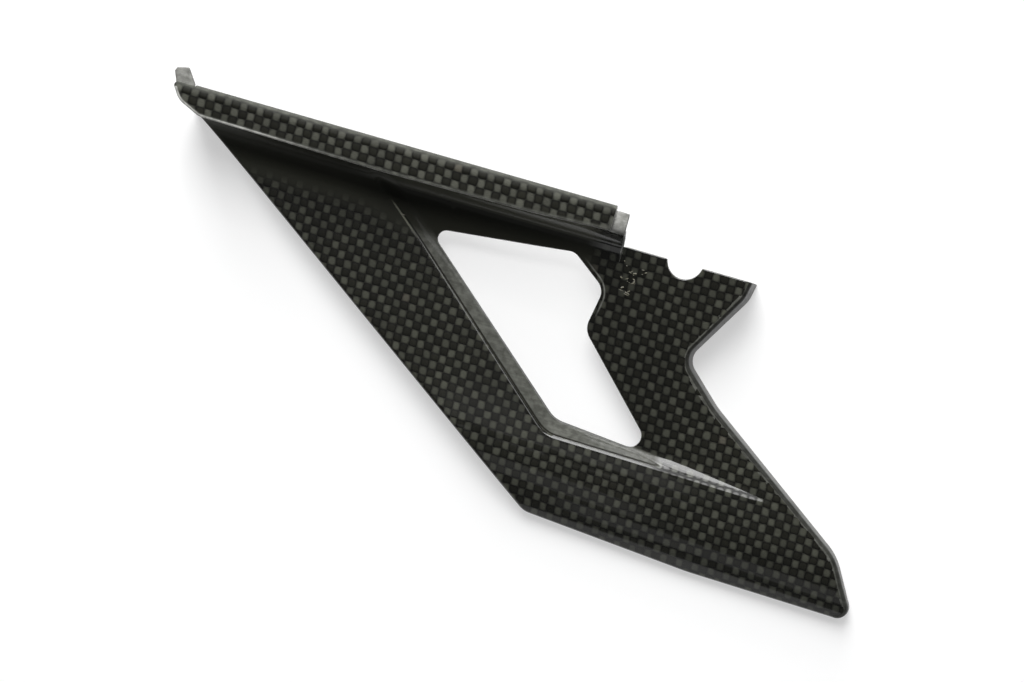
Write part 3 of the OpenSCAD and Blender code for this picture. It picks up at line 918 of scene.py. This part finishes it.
# The same for the strip, whose lower edge is the one beside the web
stripZones = {
    # painted sheen on the turned edge, painted highlight along the lower edge
    "turned": [(stripBendStart + reach) * millimetre for reach in (0.7, 2.6)], "turnedSheenGrey": 0.85,
    "turnedCoat": [(stripBendStart + reach) * millimetre for reach in (-0.6, 0.0)], "turnedGloss": 0.1,
    "lowWidth": 0.0008, "lowHighlightGrey": 0.6, "lowLine": (0.0001, 0.0005), "lowX": (-0.114, -0.080),
    "sheenX": (-0.12, -0.02), "sheenShade": (0.95, 1.08),
}


# The woven finish of both pieces. Masks say where the weave gives way to bare grey and to painted
# sheen and highlights; the other callbacks add painted sheen and painted shade
def wovenMaterial(name, finish, bareAndPaintedLight, paintedSheen, gloss, resin=None):
    material, tree = newMaterial(name)
    flat = wired(tree, "ShaderNodeUVMap", uv_map="laminate")
    solid = wired(tree, "ShaderNodeTexCoord", output="Object")
    tows = useGroup(tree, plainWeave, Place=flat, Pitch=finish["pitch"], Skew=finish["skew"])
    bare = useGroup(tree, bareLaminate, Place=solid, Colour=(*finish["bareGrey"], 1), Fleck=finish["fleck"])

    def lifted(key):
        return tinted(bare["Colour"], [a / b for a, b in zip(finish[key], finish["bareGrey"])])

    level = tows["Chance"].ramp(0.0, 1.0, 1 - finish["uneven"], 1 + finish["uneven"])
    level = level * tows["Fibre"].ramp(0.3, 0.7, *finish["fibreShade"])
    # painted shade: each tow is darker towards its edges and ends
    level = level * tows["Crown"].ramp(0.15, 0.85, *finish["crownShade"])
    large, _ = noise(solid, weaveForm["largeScale"], 2.0)
    level = level * large.ramp(0.3, 0.7, *finish["largeShade"]) * paintedSheen(tree, solid)
    warm = calc("GREATER_THAN", tows["Chance"], finish["warmFrom"])
    tow = blend(tows["Over"], finish["darkTow"], blend(warm, finish["paleTow"], finish["warmTow"]))
    woven = tinted(tow, greyOf(level))

    inner = mark(tree, "innerSide")
    rim = mark(tree, "bareRim").ramp(0.3, 0.8)
    mask, paleEndsAndHighlight = bareAndPaintedLight(tree, tows, flat, finish)
    mask = larger(mask, paleEndsAndHighlight)
    base = baseZ * millimetre
    # painted shade on the side walls: lighter at the base, darker higher up
    low = split(solid)[2].ramp(base, base + finish["shoulderHeight"], 1.0, finish["shoulderShade"])
    low = mark(tree, "onWall").ramp(0.1, 0.9) * (low - 1.0) + 1.0
    grey = tinted(blend(paleEndsAndHighlight, bare["Colour"], lifted("endGrey")), greyOf(low))
    colour = blend(mask, woven, grey)
    plain = larger(mask, rim)
    height = between(plain, tows["Fibre"] * weaveForm["fibreHeight"] + tows["Crown"],
                     bare["Height"] * weaveForm["bareHeight"])
    # painted shade: a flat dark colour in place of the weave where shade falls
    if resin:
        shadeFillMask, shade = resin(tree, flat)
        shadeFillMask = shadeFillMask * (1.0 - inner)
        colour = blend(shadeFillMask, colour, tinted(finish["resin"], greyOf(shade)))
        height = height * (1.0 - shadeFillMask)
    colour = blend(rim, colour, lifted("cutGrey"))

    rough = between(plain, tows["Fibre"].ramp(0.3, 0.7, *finish["towRoughness"]), bare["Roughness"])
    bump = place(tree, "ShaderNodeBump", {
        "Strength": finish["towRelief"], "Distance": finish["towHeight"], "Height": height})
    coat = plain.ramp(0.2, 0.8, finish["coat"], finish["bareCoat"]) * gloss(tree, tows, flat)
    shader = place(tree, "ShaderNodeBsdfPrincipled", {
        "Base Color": colour, "Roughness": rough, "Normal": bump.outputs[0],
        "Specular IOR Level": finish["specular"], "Coat Roughness": finish["coatRoughness"],
        "Coat Weight": between(inner, coat, finish["innerCoat"])})
    place(tree, "ShaderNodeOutputMaterial", {"Surface": shader.outputs[0]})
    return material


# Bare on the bevel beside the window, along the right border, on the tab and at the flange's end, with a
# painted highlight line by the window's upper right corner. The second mask is for the paler ends and that
# highlight
def shellBareAndHighlight(tree, tows, flat, finish):
    zone = shellZones
    x, v, _ = split(flat)
    stray = tows["Chance"] * zone["strayTow"] - zone["strayTow"] / 2
    bevel = (stray * 0.4 + mark(tree, "creaseDistance")).ramp(*zone["bevelEdge"])
    bevel = bevel * mark(tree, "footDistance").ramp(*zone["bevelFoot"])
    bevel = bevel * v.fall(*zone["bevelTopV"]) * x.fall(*zone["bevelRightX"])
    loose = stray * (1.0 - mark(tree, "onWall"))
    width, soft = finish["borderWidth"], 0.0001
    border = (mark(tree, "rightEdge") + loose).fall(width - soft, width + soft)
    stripRight = (form["railEnd"] - stripForm["short"] - 0.5) * millimetre
    end = calc("GREATER_THAN", x, stripRight) * v.ramp((webEnd - 1.2) * millimetre, (webEnd - 0.4) * millimetre)
    tab = calc("LESS_THAN", x, zone["tabX"]) * zone["tabShade"]
    tab = tab * v.ramp(bendEnd * millimetre, (bendEnd + 0.5) * millimetre)
    slit = calc("COMPARE", x, form["railEnd"] * millimetre, zone["slitWidth"]) * v.ramp(*zone["slitV"])
    windowHighlight = abs(mark(tree, "windowHighlightDistance") - zone["windowHighlightAt"]).fall(*zone["windowHighlightLine"])
    windowHighlight = windowHighlight * x.ramp(*zone["windowHighlightX"]) * v.ramp(*zone["windowHighlightV"])
    return larger(larger(bevel, windowHighlight), border), larger(larger(end, tab), larger(slit, windowHighlight * 0.2))


# Painted sheen: the strip's turned edge is painted grey, and a painted highlight runs along its lower
# edge, palest at the left
def stripSheenAndHighlight(tree, tows, flat, finish):
    zone = stripZones
    x, v, _ = split(flat)
    edge = mark(tree, "lowEdge")
    turned = v.ramp(*zone["turned"], 0.0, zone["turnedSheenGrey"])
    low = edge.fall(0.0, zone["lowWidth"]) * zone["lowHighlightGrey"]
    return larger(turned, low), edge.fall(*zone["lowLine"]) * x.fall(*zone["lowX"])


# Painted sheen: the weave is painted lighter down the right arm
def shellPaintedSheen(tree, solid):
    arm = mark(tree, "creaseDistance").ramp(*shellZones["armEdge"])
    return arm * split(solid)[0].ramp(*shellZones["armX"], *shellZones["armShade"]) + (1.0 - arm)


# Painted shade: a flat dark colour fills the corner under the rail and a painted shadow line beside
# the crease, and hides the weave there. The second value scales that colour
def paintedCornerShade(tree, flat):
    zone = shellZones
    x, v, _ = split(flat)
    crease = mark(tree, "creaseDistance")
    under = v.fall((webEnd + 0.5) * millimetre, (webEnd + 1.5) * millimetre)
    corner = (x.ramp(*zone["cornerLeftX"]) * zone["cornerWiden"] + v).ramp(*zone["cornerV"])
    corner = corner * under * x.fall(*zone["cornerX"])
    # Painted sheen: a pale band on the web under the strip
    webSheenBand = v.ramp(*zone["webV"]) * x.ramp(*zone["webX"])
    # Painted highlight: a thin pale line along the crease
    creaseHighlight = abs(crease).fall(*zone["creaseHighlightLine"]) * v.ramp(*zone["creaseHighlightV"])
    # Painted shadow: a dark line beside the crease
    creaseShadowLine = abs(crease - zone["shadowLineAt"]).fall(*zone["shadowLineWidth"])
    creaseShadowLine = creaseShadowLine * x.fall(*zone["shadowLineX"]) * v.fall(*zone["shadowLineV"])
    # Painted light: the fill is lighter towards the left end; the sheen band and crease highlight lift it
    shade = webSheenBand * zone["webSheenLift"] + x.ramp(*zone["leftX"], 1.6, 1.0) + creaseHighlight * zone["creaseHighlightLift"]
    return larger(corner, creaseShadowLine * zone["shadowLineDepth"]), shade * (creaseShadowLine * zone["shadowLineShade"] + 1.0)


# The coat is broken on the ridge and dull over the painted corner shade and the right border
def shellGloss(tree, tows, flat):
    zone = shellZones
    x, v, _ = split(flat)
    ridge = abs(mark(tree, "creaseDistance")).fall(*zone["ridgeLine"]) * x.ramp(*zone["ridgeX"])
    broken = tows["Crown"].ramp(0.35, 0.8, *zone["ridgeGloss"])
    high = v.ramp(*zone["webGlossV"]) * x.ramp(*zone["leftX"])
    dull = paintedCornerShade(tree, flat)[0] * (high * zone["webGloss"] + zone["cornerDull"])
    border = mark(tree, "rightEdge").ramp(*zone["borderLine"], zone["borderDull"], 0.0)
    border = border * x.ramp(*zone["borderX"])
    return (1.0 - ridge * (1.0 - broken)) * (1.0 - larger(dull, border))


# Painted sheen: the strip's weave is darker at the left and lighter towards the right
def stripPaintedSheen(tree, solid):
    return split(solid)[0].ramp(*stripZones["sheenX"], *stripZones["sheenShade"])


def stripGloss(tree, tows, flat):
    return split(flat)[1].ramp(*stripZones["turnedCoat"], 1.0, stripZones["turnedGloss"])


shell.data.materials.append(
    wovenMaterial("wovenShellFinish", shellFinish, shellBareAndHighlight, shellPaintedSheen, shellGloss, paintedCornerShade))
strip.data.materials.append(
    wovenMaterial("wovenStripFinish", stripFinish, stripSheenAndHighlight, stripPaintedSheen, stripGloss))


# Pale specks of set resin beside the rail's free end and where the bevel begins
fleckForm = {
    # middle and reach of each patch on the plan
    "patches": (((-14.6, -4.6), (1.6, 0.7)), ((-13.0, -8.4), (2.6, 1.3)), ((-10.6, -6.6), (2.2, 2.6)),
                ((-12.8, -11.3), (1.6, 0.9)), ((-71.6, -9.3), (0.7, 1.9))),
    "density": 520000.0, "size": 0.00023, "seed": 11, "shape": (1.0, 0.62, 0.3),
    "least": (0.5, 0.45, 0.5), "most": (3.6, 1.3, 1.0), "turn": (-0.5, 0.7),
    "colour": (0.16, 0.152, 0.105), "fleck": 0.1, "coat": 0.4,
}


def fleckMaterial():
    material, tree = newMaterial("setResin")
    solid = wired(tree, "ShaderNodeTexCoord", output="Object")
    bare = useGroup(tree, bareLaminate, Place=solid, Colour=(*fleckForm["colour"], 1), Fleck=fleckForm["fleck"])
    shader = place(tree, "ShaderNodeBsdfPrincipled", {
        "Base Color": bare["Colour"], "Roughness": bare["Roughness"], "Coat Weight": fleckForm["coat"]})
    place(tree, "ShaderNodeOutputMaterial", {"Surface": shader.outputs[0]})
    return material


# The patches on the shell's face, each a disc of three rings
def fleckPatches():
    count = 24
    turns = np.linspace(0, 2 * math.pi, count + 1)[:-1]
    circle = np.stack((np.cos(turns), np.sin(turns)), axis=1)
    points, faces = [], []
    for middle, reach in fleckForm["patches"]:
        first = len(points) * count
        for share in (0.35, 0.7, 1.0):
            plan = circle * reach * share + middle
            points.append(placeShell(plan, plan * 0))
        faces.append(tuple(range(first, first + count)))
        for ring in (first, first + count):
            for k in range(count):
                after = (k + 1) % count
                faces.append((ring + count + k, ring + count + after, ring + after, ring + k))
    mesh = bpy.data.meshes.new("resinFlecks")
    mesh.from_pydata((np.concatenate(points) + (0, 0, baseZ)) * millimetre, [], faces)
    return mesh


def scatterTree():
    tree, given, wanted = newGroup(
        "scatterFlecks", {"Geometry": "Geometry", "Density": "Float", "Size": "Float", "Seed": "Int",
                          "Finish": "Material"}, {"Geometry": "Geometry"}, "GeometryNodeTree")
    spots = place(tree, "GeometryNodeDistributePointsOnFaces", {
        "Mesh": given["Geometry"], "Density": given["Density"], "Seed": given["Seed"]})
    ball = place(tree, "GeometryNodeMeshIcoSphere", {"Radius": given["Size"], "Subdivisions": 2})
    flat = place(tree, "GeometryNodeTransform", {"Geometry": ball.outputs["Mesh"], "Scale": fleckForm["shape"]})
    size = place(tree, "FunctionNodeRandomValue", {
        0: fleckForm["least"], 1: fleckForm["most"], "Seed": given["Seed"]}, data_type="FLOAT_VECTOR")
    turn = place(tree, "FunctionNodeRandomValue", {
        2: fleckForm["turn"][0], 3: fleckForm["turn"][1], "Seed": given["Seed"]}, data_type="FLOAT")
    turned = place(tree, "ShaderNodeCombineXYZ", {"Z": turn.outputs[1]})
    placed = place(tree, "GeometryNodeInstanceOnPoints", {
        "Points": spots.outputs["Points"], "Instance": flat.outputs["Geometry"], "Scale": size.outputs[0],
        "Rotation": turned.outputs[0]})
    real = place(tree, "GeometryNodeRealizeInstances", {"Geometry": placed.outputs[0]})
    finished = place(tree, "GeometryNodeSetMaterial", {
        "Geometry": real.outputs[0], "Material": given["Finish"]})
    connect(finished.outputs[0], wanted["Geometry"])
    return tree


def makeFlecks():
    piece = bpy.data.objects.new("resinFlecks", fleckPatches())
    bpy.context.scene.collection.objects.link(piece)
    modifier = piece.modifiers.new("scatter", "NODES")
    modifier.node_group = scatterTree()
    values = {"Density": fleckForm["density"], "Size": fleckForm["size"], "Seed": fleckForm["seed"],
              "Finish": fleckMaterial()}
    for item in modifier.node_group.interface.items_tree:
        if item.in_out == "INPUT" and item.name in values:
            modifier[item.identifier] = values[item.name]
    made = bpy.data.meshes.new_from_object(piece.evaluated_get(bpy.context.evaluated_depsgraph_get()))
    piece.modifiers.clear()
    piece.data = made
    made.name = "resinFlecks"
    return piece


flecks = makeFlecks()
print("finishes made:", len(flecks.data.polygons), "faces of flecks")


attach(shell, "root")
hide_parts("shell")
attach(strip, "root")
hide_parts("rail_strip")
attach(flecks, "root")


# Floor, light and camera

studio = {
    "floorColour": (0.5, 0.5, 0.5), "floorSize": 8.0, "floorGlow": 0.5, "floorMiddle": (-0.036, -0.031),
    "world": (0.075, 0.076, 0.079),
    # name: place, width, depth, level in watts
    "softboxes": {
        "keySoftbox": ((-0.197, 0.529, 0.928), 0.6, 0.52, 9.6),
        "lowerSoftbox": ((-0.304, 0.902, 0.70), 0.7, 0.4, 7.0),
        "backCard": ((-0.40, 1.25, 0.42), 0.9, 0.3, 9.5),
        "sideCard": ((0.438, 0.535, 0.94), 0.35, 0.3, 1.0),
        "lowCard": ((0.028, -0.948, 0.767), 0.3, 0.26, 0.08),
        "frontCard": ((-0.02, -1.25, 0.32), 1.1, 0.42, 0.9),
        "sheenCard": ((-0.0915, -0.1165, 1.2), 0.15, 0.05, 0.0075),
        "elbowCard": ((-0.135, -0.67, 1.05), 0.13, 0.34, 0.042),
    },
    "lens": 140.6, "sensor": 36.0,
    "cameraAt": (0.04724, -0.00698, 0.99175), "cameraTarget": (-0.0365, -0.03115, -0.00444),
    "cameraRight": (0.95712, 0.27626, -0.08716),
}


# Pale to the camera and in reflections, a mid grey to the light
def makeFloor():
    at = (*studio["floorMiddle"], baseZ * millimetre)
    bpy.ops.mesh.primitive_plane_add(size=studio["floorSize"], location=at)
    floor = bpy.context.object
    floor.name = "floor"
    material, tree = newMaterial("paleFloor")
    light = place(tree, "ShaderNodeLightPath").outputs
    camera, glossy, through = (Wire(light[f"Is {kind} Ray"]) for kind in ("Camera", "Glossy", "Transmission"))
    seen = larger(camera, larger(glossy, through))
    matte = place(tree, "ShaderNodeBsdfDiffuse", {"Color": (*studio["floorColour"], 1)})
    glow = place(tree, "ShaderNodeEmission", {"Color": (1, 1, 1, 1), "Strength": seen * studio["floorGlow"]})
    both = place(tree, "ShaderNodeAddShader", {0: matte.outputs[0], 1: glow.outputs[0]})
    place(tree, "ShaderNodeOutputMaterial", {"Surface": both.outputs[0]})
    floor.data.materials.append(material)


# Where an object stands whose back faces away, with its side along right
def standing(at, right):
    away = (Vector(at) - Vector(studio["cameraTarget"])).normalized()
    side = (Vector(right) - away * Vector(right).dot(away)).normalized()
    return Matrix.Translation(at) @ Matrix((side, away.cross(side), away)).transposed().to_4x4()


def addSoftbox(name, at, width, depth, level):
    lamp = bpy.data.lights.new(name, "AREA")
    lamp.shape = "RECTANGLE"
    lamp.size, lamp.size_y = width, depth
    lamp.energy = level
    softbox = bpy.data.objects.new(name, lamp)
    softbox.matrix_world = standing(at, (1, 0, 0))
    bpy.context.scene.collection.objects.link(softbox)


makeFloor()
for name, values in studio["softboxes"].items():
    addSoftbox(name, *values)
world = bpy.data.worlds.new("studioRoom")
bpy.context.scene.world = world
world.use_nodes = True
room = world.node_tree
room.nodes.clear()
backdrop = place(room, "ShaderNodeBackground", {"Color": (*studio["world"], 1), "Strength": 1.0})
place(room, "ShaderNodeOutputWorld", {"Surface": backdrop.outputs[0]})

camera = bpy.data.objects.new("camera", bpy.data.cameras.new("camera"))
bpy.context.scene.collection.objects.link(camera)
camera.matrix_world = standing(studio["cameraAt"], studio["cameraRight"])
camera.data.lens, camera.data.sensor_width = studio["lens"], studio["sensor"]
bpy.context.scene.camera = camera
bpy.context.scene.view_settings.view_transform = "Standard"
print("stage set")
